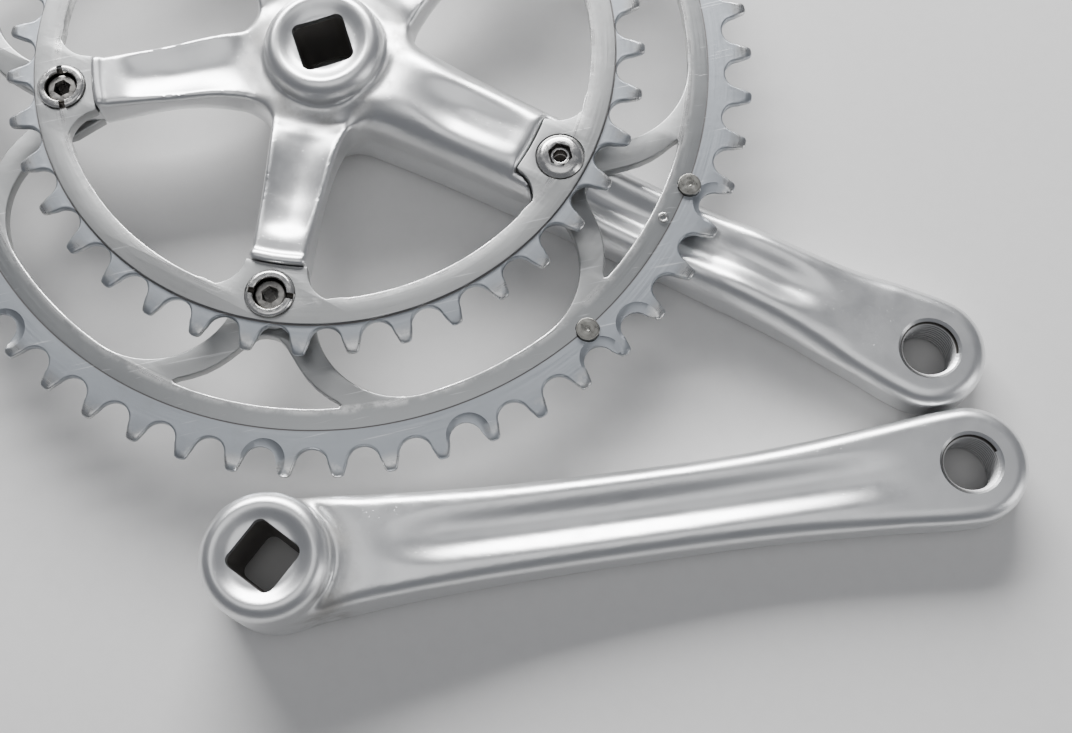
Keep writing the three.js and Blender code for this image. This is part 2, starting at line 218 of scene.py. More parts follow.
def rounded_profile(points, radii, steps=4):
    """A closed (radius, height) profile whose corners are rounded to the radii given."""
    result = []
    count = len(points)
    for n, point in enumerate(points):
        here = Vector(point)
        before = (Vector(points[n - 1]) - here).normalized()
        after = (Vector(points[(n + 1) % count]) - here).normalized()
        if radii[n] == 0:
            result.append(tuple(here))
            continue
        start = here + before * radii[n]
        end = here + after * radii[n]
        for k in range(steps + 1):
            t = k / steps
            result.append(tuple((1 - t) ** 2 * start + 2 * t * (1 - t) * here + t * t * end))
    return result


def plate(name, outline, holes, low, high, edge, place):
    """A flat plate with holes, its edges rounded by edge."""
    curve = bpy.data.curves.new(name, "CURVE")
    curve.dimensions = "2D"
    curve.fill_mode = "BOTH"
    curve.extrude = (high - low) / 2 - edge
    curve.bevel_depth = edge
    curve.bevel_resolution = 2
    curve.offset = -edge
    for loop in [outline, *holes]:
        spline = curve.splines.new("POLY")
        spline.points.add(len(loop) - 1)
        for point, (x, y) in zip(spline.points, loop):
            point.co = (x, y, 0, 1)
        spline.use_cyclic_u = True
    shape = new_object(name + "_curve", curve)
    graph = bpy.context.evaluated_depsgraph_get()
    mesh = bpy.data.meshes.new_from_object(shape.evaluated_get(graph))
    bpy.data.objects.remove(shape)
    mesh.transform(place @ Matrix.Translation((0, 0, (low + high) / 2)))
    work = bmesh.new()
    work.from_mesh(mesh)
    bmesh.ops.remove_doubles(work, verts=work.verts, dist=1e-7)
    bmesh.ops.recalc_face_normals(work, faces=work.faces)
    work.to_mesh(mesh)
    work.free()
    return new_object(name, mesh)


# ------------------------------------------------------------------ rounded forms as distance fields


def run(*stations):
    """A smooth curve through (x, value) stations, level beyond both ends."""
    xs, values = np.array(stations, float).T
    slopes = np.gradient(values, xs)
    slopes[0] = slopes[-1] = 0

    def at(x):
        x = np.clip(x, xs[0], xs[-1])
        n = np.clip(np.searchsorted(xs, x, side="right") - 1, 0, len(xs) - 2)
        width = xs[n + 1] - xs[n]
        t = (x - xs[n]) / width
        rise = values[n] * (2 * t + 1) * (1 - t) ** 2 + values[n + 1] * t * t * (3 - 2 * t)
        return rise + width * (slopes[n] * t * (1 - t) ** 2 - slopes[n + 1] * t * t * (1 - t))

    return at


def fade(x, start, end):
    """1 before start, 0 after end, smooth between."""
    t = np.clip((x - start) / (end - start), 0, 1)
    return 1 - t * t * (3 - 2 * t)


def both(one, other, radius):
    """Where two forms overlap, the edge between them rounded."""
    rounding = np.hypot(np.maximum(radius + one, 0), np.maximum(radius + other, 0))
    return np.minimum(-radius, np.maximum(one, other)) + rounding


def either(one, other, radius):
    """Two forms grown together, with a fillet between them."""
    fillet = np.hypot(np.maximum(radius - one, 0), np.maximum(radius - other, 0))
    return np.maximum(radius, np.minimum(one, other)) - fillet


def field_grid(form, low, step, counts):
    """The form's values on a grid, worked out only where its surface may pass."""
    block = 8
    slack = 1.6  # well over a block's half diagonal, since a form's values are only near to distances
    blocks = [-(-int(count) // block) for count in counts]
    centres = [low[n] + step * (block * np.arange(blocks[n]) + (block - 1) / 2) for n in range(3)]
    coarse = form(*np.meshgrid(*centres, indexing="ij")).astype(np.float32)
    reach = block * step * slack
    values = coarse
    for axis in range(3):
        values = np.repeat(values, block, axis=axis)
    near = np.nonzero(np.abs(values) < reach)
    values[near] = form(*(low[n] + step * near[n] for n in range(3)))
    return values


def skin(form, low, high, step):
    """Vertices and quads of the surface where form is zero, between two corners."""
    low = np.array(low, float)
    counts = np.ceil((np.array(high) - low) / step).astype(int) + 1
    values = field_grid(form, low, step, counts)
    inside = values < 0
    size = np.array(values.shape) - 1
    corners = [(i, j, k) for i in (0, 1) for j in (0, 1) for k in (0, 1)]

    def corner(grid, offset):
        i, j, k = offset
        return grid[i:i + size[0], j:j + size[1], k:k + size[2]]

    total = sum(corner(inside, offset).astype(np.int8) for offset in corners)
    cells = np.nonzero((total > 0) & (total < 8))
    number = np.full(size, -1, np.int64)
    number[cells] = np.arange(len(cells[0]))
    sums = np.zeros((len(cells[0]), 3))
    hits = np.zeros(len(cells[0]))
    for start in corners:
        for axis in range(3):
            if start[axis]:
                continue
            end = tuple(1 if n == axis else start[n] for n in range(3))
            at_start = corner(values, start)[cells].astype(float)
            at_end = corner(values, end)[cells].astype(float)
            crossing = (at_start < 0) != (at_end < 0)
            share = np.where(crossing, at_start / np.where(crossing, at_start - at_end, 1), 0)
            spot = np.tile(np.array(start, float), (len(at_start), 1))
            spot[:, axis] += share
            sums += spot * crossing[:, None]
            hits += crossing
    vertices = low + step * (np.stack(cells, 1) + sums / hits[:, None])
    faces = []
    for axis in range(3):
        u, v = (axis + 1) % 3, (axis + 2) % 3
        first = [slice(None)] * 3
        second = [slice(None)] * 3
        first[axis] = slice(0, -1)
        second[axis] = slice(1, None)
        change = inside[tuple(first)] != inside[tuple(second)]
        edges = np.array(np.nonzero(change))
        keep = (edges[u] > 0) & (edges[v] > 0) & (edges[u] < size[u]) & (edges[v] < size[v])
        edges = edges[:, keep]
        quads = []
        for du, dv in ((-1, -1), (0, -1), (0, 0), (-1, 0)):
            cell = edges.copy()
            cell[u] += du
            cell[v] += dv
            quads.append(number[tuple(cell)])
        quads = np.stack(quads, 1)
        outward = inside[tuple(first)][tuple(edges)]
        faces.append(np.where(outward[:, None], quads, quads[:, ::-1]))
    return settle(form, vertices), np.concatenate(faces)


def settle(form, vertices):
    """Moves vertices onto the exact surface of the form."""
    probe = 0.02
    rounds = 3
    least_slope = 0.3
    for _ in range(rounds):
        value = form(*vertices.T)
        slope = np.empty_like(vertices)
        for axis in range(3):
            ahead = vertices.copy()
            ahead[:, axis] += probe
            slope[:, axis] = (form(*ahead.T) - value) / probe
        vertices = vertices - slope * (value / np.maximum((slope ** 2).sum(1), least_slope))[:, None]
    return vertices


# ------------------------------------------------------------------ the two forgings
# Each crank is worked out in its own frame: the spindle's axis up Z, the arm along +X, in millimetres.
# A run() gives a width, a height or a depth at stations along the arm or out from the spindle.

GRID = 0.65
EDGE_BEVEL = 2.3
DISH_RADIUS = 12.6
DISH_SLOPE = 5.4
DISH_DEPTH = 1.9
TAB_HALF_WIDTH = 6.6


def channel(x, y, start, end, flat, reach):
    """1 over the flat floor of a channel along X, falling to 0 at its reach. Each end is (x, stretch)."""
    beyond = np.maximum(start[0] - x, 0) / start[1] + np.maximum(x - end[0], 0) / end[1]
    away = np.clip((np.hypot(beyond, y) - flat) / (reach - flat), 0, 1)
    return 0.5 + 0.5 * np.cos(np.pi * away)


def arm_form(x, y, z, width, lid, ridge):
    """A crank arm from the spindle axis to its round eye, under a lid, with a bevelled outboard edge."""
    along = np.clip(x, 0, CRANK_LENGTH)
    plan = np.hypot(x - along, y) - width(along)
    bevel = (plan + EDGE_BEVEL - z) * math.sqrt(0.5)
    return both(both(both(plan, z - lid, ridge), bevel, 0.8), -z, 0.8)


def boss_form(x, y, z, height):
    """The socket's boss: a fat round lip about a hollow dish."""
    radius = np.hypot(x, y)
    inward = np.clip((DISH_RADIUS - radius) / DISH_SLOPE, 0, 1)
    lid = z - height + DISH_DEPTH / 2 * (1 - np.cos(np.pi * inward))
    return both(both(radius - BOSS_RADIUS, lid, 4.2), -z, 3.5)


SPIDER_WIDTH = run((12, 12.6), (20, 10.0), (27, 8.9), (38, 8.0), (50, 7.3), (60, 7.1))
SPIDER_TOP = run((14, 22.4), (19.5, 22.9), (24.5, 25.2), (42, 26.1), (60, 26.7))
SPIDER_LOW = run((12, 4.0), (22, 8.0), (40, 12.2), (60, 13.6))
SPIDER_UNDER = run((8, 4.0), (36, 6.0), (60, 2.5))
SPIDER_UNDER_RISE = run((8, 8.0), (36, 11.5), (60, 4.5))
SPIDER_HOLLOW = run((21, 0.0), (26, 1.6), (44, 1.8), (49, 1.35), (52.5, 0.15), (54, 0.0))
SPIDER_LIP = run((56.4, 0.0), (57.8, 0.75), (60, 0.75))


def spider_arm_form(x, y, z):
    """One free arm along +X: hollowed lengthwise, curved in underneath, with a lip before its thin tab."""
    reach = np.hypot(x, y)
    side = np.abs(y)
    across = np.clip(side / (SPIDER_WIDTH(x) - 1.0), 0, 1)
    lid = z - SPIDER_TOP(reach) + SPIDER_HOLLOW(x) * (1 - across ** 1.6) - SPIDER_LIP(reach)
    under = np.clip((SPIDER_LOW(x) + SPIDER_UNDER_RISE(x) - z) / SPIDER_UNDER_RISE(x), 0, 1)
    flank = side - SPIDER_WIDTH(x) + SPIDER_UNDER(x) * under ** 2.2
    bar = both(both(flank, lid, 1.6), SPIDER_LOW(x) - z, 1.5)
    bar = both(bar, reach - SHOULDER_RADIUS, 0.8)
    along = np.clip(x, 50, BOLT_CIRCLE)
    tab = np.hypot(x - along, y) - TAB_HALF_WIDTH
    tab = both(both(tab, z - TAB[1], 0.4), TAB[0] - z, 0.4)
    return np.maximum(either(bar, tab, 0.5), -x)


INNER_WIDTH = run((0, 14.2), (14, 13.9), (24, 12.9), (40, 12.2), (60, 11.8), (CRANK_LENGTH, 11.8))
INNER_TOP = run((15, 25.6), (19, 27.1), (40, 27.3), (60, 27.2))
INNER_DEPTH = run((20, 0.0), (32, 1.6), (44, 1.8), (53, 1.2), (58, 0.5), (60, 0.4))
OUTER_WIDTH = run(
    (0, 13.5), (40, 11.6), (80, 11.0), (110, 10.9), (135, 11.4), (155, 13.2), (CRANK_LENGTH, EYE_RADIUS))
OUTER_TOP = run((60, LEDGE), (111.5, LEDGE), (119, 15.5), (132, 15.2), (147, 13.8), (154, EYE_THICKNESS))
OUTER_DEPTH = run((68, 0.0), (76, 1.9), (112, 1.8), (122, 2.1), (134, 1.9), (148, 0.6), (154, 0.0))
OUTER_CROWN = run((66, 1.8), (120, 2.0), (146, 1.0), (158, 0.0))
CORNER_TOP = 25.0


def inner_arm_form(x, y, z, radius):
    """The deep part of the arm inside the rings: two soft ridges, and sides that lean in underneath."""
    lid = z - INNER_TOP(radius) + INNER_DEPTH(x) * channel(x, y, (43, 2.6), (66, 1.0), 1.6, 8.8)
    side = np.abs(y) - INNER_WIDTH(x) + 0.13 * np.clip(21 - z, 0, 21)
    bevel = (side + EDGE_BEVEL - z) * math.sqrt(0.5)
    end = both(radius - SHOULDER_RADIUS, lid, 3.2)
    bar = both(side, lid, 9.0)
    arm = both(both(bar, end, 0.6), -x, 0.5)
    notch = np.hypot(x - NOTCH[0], np.abs(y) - NOTCH[1]) - NOTCH_RADIUS
    corner = both(both(bar, z - CORNER_TOP, 1.5), notch, 1.0)
    return both(both(np.minimum(arm, corner), bevel, 0.8), -z, 0.8)


HUB_RADIUS = 20.5
HUB = (3.0, 22.4)


def drive_form(x, y, z):
    """The drive crank: hub, deep arm, four free spider arms, thinner outer arm and boss grown together."""
    radius = np.hypot(x, y)
    hub = both(both(radius - HUB_RADIUS, z - HUB[1], 4.0), HUB[0] - z, 2.5)
    body = either(hub, inner_arm_form(x, y, z, radius), 3.0)
    for degrees in FIVE[1:]:
        cosine, sine = polar(1, degrees)
        spider_arm = spider_arm_form(x * cosine + y * sine, y * cosine - x * sine, z)
        body = either(body, spider_arm, 5.0)
    lid = OUTER_TOP(x) - OUTER_DEPTH(x) * channel(x, y, (66, 1.0), (128, 3.0), 0.8, 6.6)
    lid -= OUTER_CROWN(x) * np.clip((np.abs(y) - 6.0) / 5.0, 0, 1.2) ** 2
    outer = arm_form(x, y, z, OUTER_WIDTH, lid, 4.0)
    body = either(body, outer, 0.8 + 2.2 * (1 - fade(np.abs(y), 7.5, 9.5)))
    return both(either(body, boss_form(x, y, z, DRIVE_HEIGHT), 1.6), -z, 0.5)


LEFT_WIDTH = run(
    (0, 14.6), (14, 13.7), (26, 12.6), (50, 11.4), (84, 10.9), (120, 11.3), (150, 13.0),
    (CRANK_LENGTH, EYE_RADIUS))
LEFT_TOP = run(
    (15, 20.4), (18.5, 21.5), (30, 20.7), (60, 17.4), (95, 15.2), (140, 14.0), (156, EYE_THICKNESS))
LEFT_DEPTH = run((22, 1.0), (52, 2.1), (115, 2.2), (138, 1.5), (156, 0.0))
LEFT_CROWN = run((20, 0.3), (60, 1.2), (130, 1.2), (155, 0.0))


def left_form(x, y, z):
    """The left crank: a long arm with one groove, and its boss."""
    lid = LEFT_TOP(np.hypot(x, y)) - LEFT_DEPTH(x) * channel(x, y, (42, 2.6), (160, 1.0), 1.0, 7.4)
    lid -= LEFT_CROWN(x) * np.clip(y / 11.5, -1, 1) ** 2
    arm = arm_form(x, y, z, LEFT_WIDTH, lid, 3.6)
    return both(either(arm, boss_form(x, y, z, LEFT_HEIGHT), 1.6), -z, 0.5)


def rounded_square(half, corner, turn, steps=6):
    """A square's outline with round corners, half across flats each way."""
    points = []
    for quarter in range(4):
        middle = turned_points([(half - corner, half - corner)], 90 * quarter)[0]
        points += arc(middle, corner, 90 * quarter, 90 * quarter + 90, steps)
    return turned_points(points, turn)


def stacked(name, loops, heights, place):
    """A closed solid through flat outlines at rising heights."""
    count = len(loops[0])
    vertices = [(x, y, h) for loop, h in zip(loops, heights) for x, y in loop]
    faces = [list(reversed(range(count))), list(range(count * (len(loops) - 1), count * len(loops)))]
    for row in range(len(loops) - 1):
        for n in range(count):
            m = (n + 1) % count
            faces.append([row * count + n, row * count + m, (row + 1) * count + m, (row + 1) * count + n])
    return mesh_object(name, vertices, faces, place)


def thread(name, radius, depth, pitch, low, high, place, steps=44):
    """The ridge of an internal screw thread: a V-shaped strip wound up the bore's wall."""
    turns = (high - low) / pitch
    count = int(turns * steps)
    section = [(radius + 0.25, -0.5), (radius - depth, -0.07), (radius - depth, 0.07), (radius + 0.25, 0.5)]
    vertices = []
    for n in range(count + 1):
        height = low + (high - low) * n / count
        for r, rise in section:
            vertices.append((*polar(r, 360 * n / steps), height + rise * pitch))
    sides = len(section)
    faces = [list(reversed(range(sides))), [sides * count + k for k in range(sides)]]
    for n in range(count):
        here, there = sides * n, sides * (n + 1)
        for k in range(sides):
            m = (k + 1) % sides
            faces.append([here + k, here + m, there + m, there + k])
    return mesh_object(name, vertices, faces, place)


SOCKET_MOUTH = 6.7  # half across flats at the inboard face
SOCKET_END = 6.0
SOCKET_CORNER = 2.3
EXTRACTOR_RADIUS = 11.0
EXTRACTOR_DEPTH = 9.5
PEDAL_BORE = 7.15
ARM_BOLT_BORE = 4.1
TAB_BORE = 5.3


def socket_cutter(height, place):
    """The tapered square, and the round extractor bore under it."""
    halves = [SOCKET_END, SOCKET_MOUTH, SOCKET_MOUTH + 0.25]
    loops = [rounded_square(half, SOCKET_CORNER, 45) for half in halves]
    square = stacked("square", loops, [EXTRACTOR_DEPTH - 1, height - 3.2, height + 1], place)
    bore = lathe("bore", [
        (0, -2), (EXTRACTOR_RADIUS + 0.6, -2), (EXTRACTOR_RADIUS + 0.6, 0.1), (EXTRACTOR_RADIUS, 0.8),
        (EXTRACTOR_RADIUS, EXTRACTOR_DEPTH), (0, EXTRACTOR_DEPTH),
    ], place)
    return square, bore


def pedal_cutter(place):
    bevel = 0.7
    top = EYE_THICKNESS
    mouth = PEDAL_BORE + bevel
    return lathe("pedal_bore", [
        (0, -2), (mouth + 1, -2), (mouth, 0), (PEDAL_BORE, bevel),
        (PEDAL_BORE, top - bevel), (mouth, top), (mouth + 2, top + 2), (0, top + 2),
    ], place @ Matrix.Translation((CRANK_LENGTH, 0, 0)))


def finished_forging(name, form, low, high, height, place, extra_cutters=()):
    """A crank's skin between two corners, with its socket, bores and threads."""
    vertices, faces = skin(form, low, high, GRID)
    forging = mesh_object(name, vertices, faces, place)
    for cutter in [*socket_cutter(height, place), pedal_cutter(place), *extra_cutters]:
        cut(forging, cutter)
    eye = place @ Matrix.Translation((CRANK_LENGTH, 0, 0))
    threads = [
        thread("pedal_thread", PEDAL_BORE, 0.6, 1.27, 1.0, EYE_THICKNESS - 1.0, eye),
        thread("extractor_thread", EXTRACTOR_RADIUS, 0.5, 1.0, 1.2, EXTRACTOR_DEPTH - 0.8, place, 56),
    ]
    shade(forging, 38)
    return joined(forging, *threads)


def bolt_bore(name, degrees, radius, low):
    """A cutter for a round bore on the bolt circle, open above."""
    profile = [(0, low), (radius, low), (radius, 40), (0, 40)]
    return lathe(name, profile, DRIVE @ Matrix.Translation((*polar(BOLT_CIRCLE, degrees), 0)), 32)


def drive_crank():
    bores = [bolt_bore("bolt_bore", 0, ARM_BOLT_BORE, 4.6)]
    bores += [bolt_bore("tab_bore", degrees, TAB_BORE, 10) for degrees in FIVE[1:]]
    return finished_forging(
        "drive_crank", drive_form, (-64, -74, -2), (187, 74, DRIVE_HEIGHT + 2), DRIVE_HEIGHT, DRIVE, bores)


def left_crank():
    return finished_forging(
        "left_crank", left_form, (-18, -18, -2), (187, 18, LEFT_HEIGHT + 2), LEFT_HEIGHT, LEFT)


# ------------------------------------------------------------------ chainrings

CHAIN_PITCH = 12.7
SEAT_RADIUS = 4.05
TOOTH_RISE = 3.1  # from the pitch circle to the tips
TOOTH_TIP = 1.55  # half its width
TOOTH_INSET = 0.7
TOOTH_BEVEL = 0.28
TOOTH_THINNING = 0.42  # the share of its thickness lost towards the tip
# Across a tooth's tip: shares of its half width, and the fall below its top.
TOOTH_CROWN = [(-1.0, -0.75), (-0.8, -0.3), (-0.45, -0.05), (0, 0), (0.45, -0.05), (0.8, -0.3), (1.0, -0.75)]
INNER_TEETH = 39
INNER_FIRST_TOOTH = 27.1  # degrees from the arm
OUTER_TEETH = 53
OUTER_FIRST_TOOTH = 28.6
OUTER_RAMP_GAPS = [2, 8, 14, 22, 23, 28, 31, 32, 38, 42, 45, 46, 49]

# Each ring's thick body reaches from its inner edge to the step down to its toothed band.
INNER_EDGE = 68.2
INNER_STEP = 74.4
OUTER_EDGE = 93.4
OUTER_STEP = 98.6
OUTER_CONE = (94.3, 98.7)
RING_HOLE = 5.25
BOLT_SEAT = 6.3
SHIFT_PIN_HOLE = 3.08
DROP_PIN_HOLE = 1.45


def pitch_radius_of(teeth):
    return CHAIN_PITCH / 2 / math.sin(math.radians(180 / teeth))


def tooth_loop(teeth, first_tooth):
    """Closely spaced points round a chainring's teeth."""
    pitch_angle = 360 / teeth
    pitch_radius = pitch_radius_of(teeth)
    tip = pitch_radius + TOOTH_RISE
    points = []
    for tooth in range(teeth):
        angle = first_tooth + tooth * pitch_angle
        half = math.degrees(TOOTH_TIP / tip)
        points += [polar(tip + drop, angle + share * half) for share, drop in TOOTH_CROWN]
        seat_angle = angle + pitch_angle / 2
        points += arc(polar(pitch_radius, seat_angle), SEAT_RADIUS, seat_angle + 265, seat_angle + 95, 14)
    return points


def toothed_band(name, teeth, first_tooth, layer, inner_radius):
    """The thin toothed band: full thickness at its root, bevelled sides towards the tips."""
    outline = np.array(tooth_loop(teeth, first_tooth))
    radius = np.hypot(*outline.T)
    direction = outline / radius[:, None]
    root = pitch_radius_of(teeth) - SEAT_RADIUS
    tip = pitch_radius_of(teeth) + TOOTH_RISE
    following = np.roll(outline, -1, 0) - np.roll(outline, 1, 0)
    normal = np.stack([following[:, 1], -following[:, 0]], 1)
    normal /= np.linalg.norm(normal, axis=1)[:, None]
    inset = outline - normal * TOOTH_BEVEL
    base = direction * (root - 0.9)
    half = (layer[1] - layer[0]) / 2 - TOOTH_INSET

    def thickness(points):
        outward = np.clip((np.hypot(*points.T) - root - 2.0) / (tip - root - 2.0), 0, 1)
        return half * (1 - TOOTH_THINNING * outward ** 1.3)

    rows = [(direction * inner_radius, np.full(len(outline), half))]
    for share in (0, 0.25, 0.5, 0.75, 1):
        points = base + (inset - base) * share
        rows.append((points, thickness(points)))
    rows.append((outline, thickness(outline) - TOOTH_BEVEL))
    middle = (layer[0] + layer[1]) / 2
    vertices = []
    for sign in (1, -1):
        for points, rise in (rows if sign > 0 else rows[::-1]):
            vertices.append(np.column_stack([points, middle + sign * rise]))
    count = len(outline)
    levels = len(vertices)
    faces = []
    for level in range(levels):
        after = (level + 1) % levels
        for n in range(count):
            m = (n + 1) % count
            faces.append([level * count + n, after * count + n, after * count + m, level * count + m])
    return mesh_object(name, np.concatenate(vertices), faces, DRIVE)


def five_tabbed(half_tab, edge_radius, edge_from):
    """A ring's inner edge: five tabs reaching in from a round rim."""
    steps = 16
    rim = arc((0, 0), edge_radius, edge_from, 72 - edge_from, steps)[1:-1]
    period = [*mirrored(half_tab), *half_tab, *rim]
    return [point for degrees in FIVE for point in turned_points(period, degrees)]


def bolt_seats(face):
    """Cutters for the shallow round seats about a ring's bolt holes, a millimetre either side of a face."""
    profile = [(0, face - 1), (BOLT_SEAT, face - 1), (BOLT_SEAT, face + 1), (0, face + 1)]
    return [
        lathe("seat", profile, DRIVE @ Matrix.Translation((*polar(BOLT_CIRCLE, degrees), 0)), 48)
        for degrees in FIVE
    ]


def pin_holes():
    """Cutters for the outer ring's pin holes, a little wide, to leave a thin dark line about each pin."""
    cutters = []
    holes = [(f"shift_pin_{n}", SHIFT_PIN_HOLE) for n in range(1, 7)]
    for node, radius in [*holes, ("chain_drop_pin", DROP_PIN_HOLE)]:
        low, high = node_height(node)
        middle = centre(node)
        foot = [(0, low - 2), (radius, low - 2)]
        profile = [*foot, (radius, high - 0.5), (radius + 1, high + 0.5), (0, high + 0.5)]
        cutters.append(lathe("pin_hole", profile, placed(middle.x, middle.y, 0), 40))
    return cutters


def rim_bevel(inner, outer, fall, layer):
    """Cutters that leave both faces of a rim as shallow cones, falling towards the teeth."""
    cutters = []
    for top, sign in ((layer[1], 1), (layer[0], -1)):
        fallen = top - sign * fall
        above = top + sign
        profile = [(inner, top), (outer, fallen), (outer + 3, fallen), (outer + 3, above), (inner, above)]
        cutters.append(lathe("rim_bevel", profile if sign > 0 else profile[::-1], DRIVE, 240))
    return cutters


def ramp_cutters(teeth, first_tooth, layer, gaps):
    """Crescent ramps: chamfers round one side of a tooth gap, which lift the chain."""
    pitch_angle = 360 / teeth
    top = layer[1] - TOOTH_INSET
    cutters = []
    for gap in gaps:
        angle = first_tooth + (gap + 0.5) * pitch_angle
        x, y = polar(pitch_radius_of(teeth) - 0.5, angle + 0.45)
        profile = [(0, top - 0.8), (4.1, top - 0.8), (5.5, top - 0.05), (5.5, top + 1), (0, top + 1)]
        cutters.append(lathe("ramp", profile, DRIVE @ Matrix.Translation((x, y, 0)), 40))
    return cutters


def inner_ring():
    half_tab = [polar(SHOULDER_RADIUS + 0.2, 1.2 * n) for n in range(7)]
    half_tab += arc(NOTCH, NOTCH_RADIUS + 0.2, -82, -15, 12)
    half_tab += [polar(INNER_EDGE - 0.3, 14.6), polar(INNER_EDGE, 16)]
    edge = five_tabbed(half_tab, INNER_EDGE, 16)
    holes = [circle(polar(BOLT_CIRCLE, degrees), RING_HOLE, 40) for degrees in FIVE]
    body = plate("inner_ring", circle((0, 0), INNER_STEP, 200), [edge, *holes], *INNER_RING, 0.22, DRIVE)
    for seat in bolt_seats(INNER_RING[1]):
        cut(body, seat)
    band = toothed_band("inner_band", INNER_TEETH, INNER_FIRST_TOOTH, INNER_RING, INNER_STEP - 2.0)
    return joined(shade(body, 50), shade(band, 50))


def outer_ring():
    corner_radius = 21.8
    corner = polar(OUTER_EDGE - corner_radius, 26)
    half_tab = [polar(SHOULDER_RADIUS + 0.3, 2 * n) for n in range(4)]
    half_tab += arc(corner, corner_radius, 277, 386, 24)
    edge = five_tabbed(half_tab, OUTER_EDGE, 26)
    # One side of a window, as radius and degrees from the tab's middle, out to the rim.
    side = [polar(*spot) for spot in (
        (75.7, 0.7), (76.1, 1.9), (77.6, 3.3), (80.2, 4.7), (82.8, 6.0), (85.4, 7.4), (88, 9.1),
        (90.3, 11.0), (91.9, 12.5), (92.8, 13.1), (93.3, 12.7))]
    side += [polar(OUTER_EDGE, degrees) for degrees in (10, 7, 4, 1)]
    window = [*side, *mirrored(side)]
    windows = [turned_points(window, degrees) for degrees in FIVE]
    holes = [circle(polar(BOLT_CIRCLE, degrees), RING_HOLE, 40) for degrees in FIVE]
    openings = [edge, *windows, *holes]
    body = plate("outer_ring", circle((0, 0), OUTER_STEP, 260), openings, *OUTER_RING, 0.4, DRIVE)
    seats = bolt_seats(OUTER_RING[0])
    cones = rim_bevel(*OUTER_CONE, 0.6, OUTER_RING)
    for cutter in [*seats, *cones]:
        cut(body, cutter)
    band = toothed_band("outer_band", OUTER_TEETH, OUTER_FIRST_TOOTH, OUTER_RING, OUTER_STEP - 2.6)
    for ramp in ramp_cutters(OUTER_TEETH, OUTER_FIRST_TOOTH, OUTER_RING, OUTER_RAMP_GAPS):
        cut(band, ramp)
    for part in (body, band):
        for hole in pin_holes():
            cut(part, hole)
    return joined(shade(body, 50), shade(band, 50))


# ------------------------------------------------------------------ hardware

SLEEVE_BORE = 4.1
SHANK_RADIUS = 3.8
FLANGE_RADIUS = 6
FLANGE = 1.7  # thickness
COLLAR_RADIUS = 2.4


def spot_of(node):
    middle = centre(node)
    return placed(middle.x, middle.y, math.atan2(middle.y - SPINDLE.y, middle.x - SPINDLE.x))


def hex_cutter(across, low, high, place):
    points = circle((0, 0), across / 2 / math.cos(math.pi / 6), 6)
    return stacked("hex", [points, points], [low, high], place)


def sleeve_nut(node):
    """The sleeve nut, with a screwdriver slot across its flange."""
    place = spot_of(node)
    low, top = node_height(node)
    flange = top - FLANGE
    sleeve = [(SLEEVE_BORE, low), (5, low), (5, flange)]
    head = [(FLANGE_RADIUS, flange), (FLANGE_RADIUS, top - 0.45), (5.45, top)]
    mouth = [(SLEEVE_BORE + 0.2, top), (SLEEVE_BORE, top - 0.3)]
    profile = rounded_profile([*sleeve, *head, *mouth], [0, 0.2, 0, 0.1, 0.25, 0.3, 0.1, 0.1])
    nut = lathe("fine_" + node, profile, place)
    slot = [(-0.75, -12), (0.75, -12), (0.75, 12), (-0.75, 12)]
    cut(nut, stacked("slot", [slot, slot], [top - 1.5, top + 1.5], place))
    return shade(nut)


def chainring_bolt(node):
    """A bolt with its head outboard, a hexagon right through it and ridges for its thread."""
    place = spot_of(node)
    low, top = node_height(node)
    head = [(0, low), (5.2, low), (FLANGE_RADIUS, low + 0.6), (FLANGE_RADIUS, low + FLANGE)]
    shank = [(SHANK_RADIUS, low + FLANGE), (SHANK_RADIUS, top - 0.35), (3.5, top), (0, top)]
    profile = rounded_profile([*head, *shank], [0, 0.5, 0.3, 0.1, 0, 0.1, 0.25, 0])
    bolt = lathe("fine_" + node, profile, place)
    cut(bolt, hex_cutter(4, low - 1, top + 1, place @ Matrix.Rotation(0.3, 4, "Z")))
    ridges = [
        lathe("ridge", [(3.7, z - 0.3), (4.0, z), (3.7, z + 0.3)], place, 48)
        for z in np.arange(low + 4, top - 1.0, 0.75)
    ]
    return joined(shade(bolt), *[shade(ridge, 80) for ridge in ridges])


def arm_bolt(node):
    """The fifth bolt: its hexagon surrounds a small collar with a bore of its own."""
    place = spot_of(node)
    low, top = node_height(node)
    seat = INNER_RING[1] - 0.7
    shank = [(0, low), (3.2, low), (SHANK_RADIUS, low + 0.6), (SHANK_RADIUS, seat)]
    head = [(FLANGE_RADIUS, seat), (FLANGE_RADIUS, seat + 0.7), (4.9, top - 0.25), (3.5, top), (0, top)]
    profile = rounded_profile([*shank, *head], [0, 0.2, 0.3, 0, 0.1, 0.35, 0.6, 0.3, 0])
    bolt = lathe("fine_" + node, profile, place, 96)
    cut(bolt, hex_cutter(5.6, top - 2.2, top + 1, place @ Matrix.Rotation(0.2, 4, "Z")))
    cut(bolt, lathe("bore", [(0, top - 4), (1.8, top - 4), (1.8, top - 1), (0, top - 1)], place, 48))
    wall = [(1.75, top - 2.4), (COLLAR_RADIUS, top - 2.4), (COLLAR_RADIUS, top - 1.0), (1.75, top - 1.0)]
    collar = lathe("collar", rounded_profile(wall, [0, 0, 0.25, 0.2]), place, 48)
    return joined(shade(bolt), shade(collar))


def spacer(node):
    place = spot_of(node)
    low, high = node_height(node)
    profile = rounded_profile([(4.1, low), (6.7, low), (6.7, high), (4.1, high)], [0.2] * 4)
    return shade(lathe("fine_" + node, profile, place))


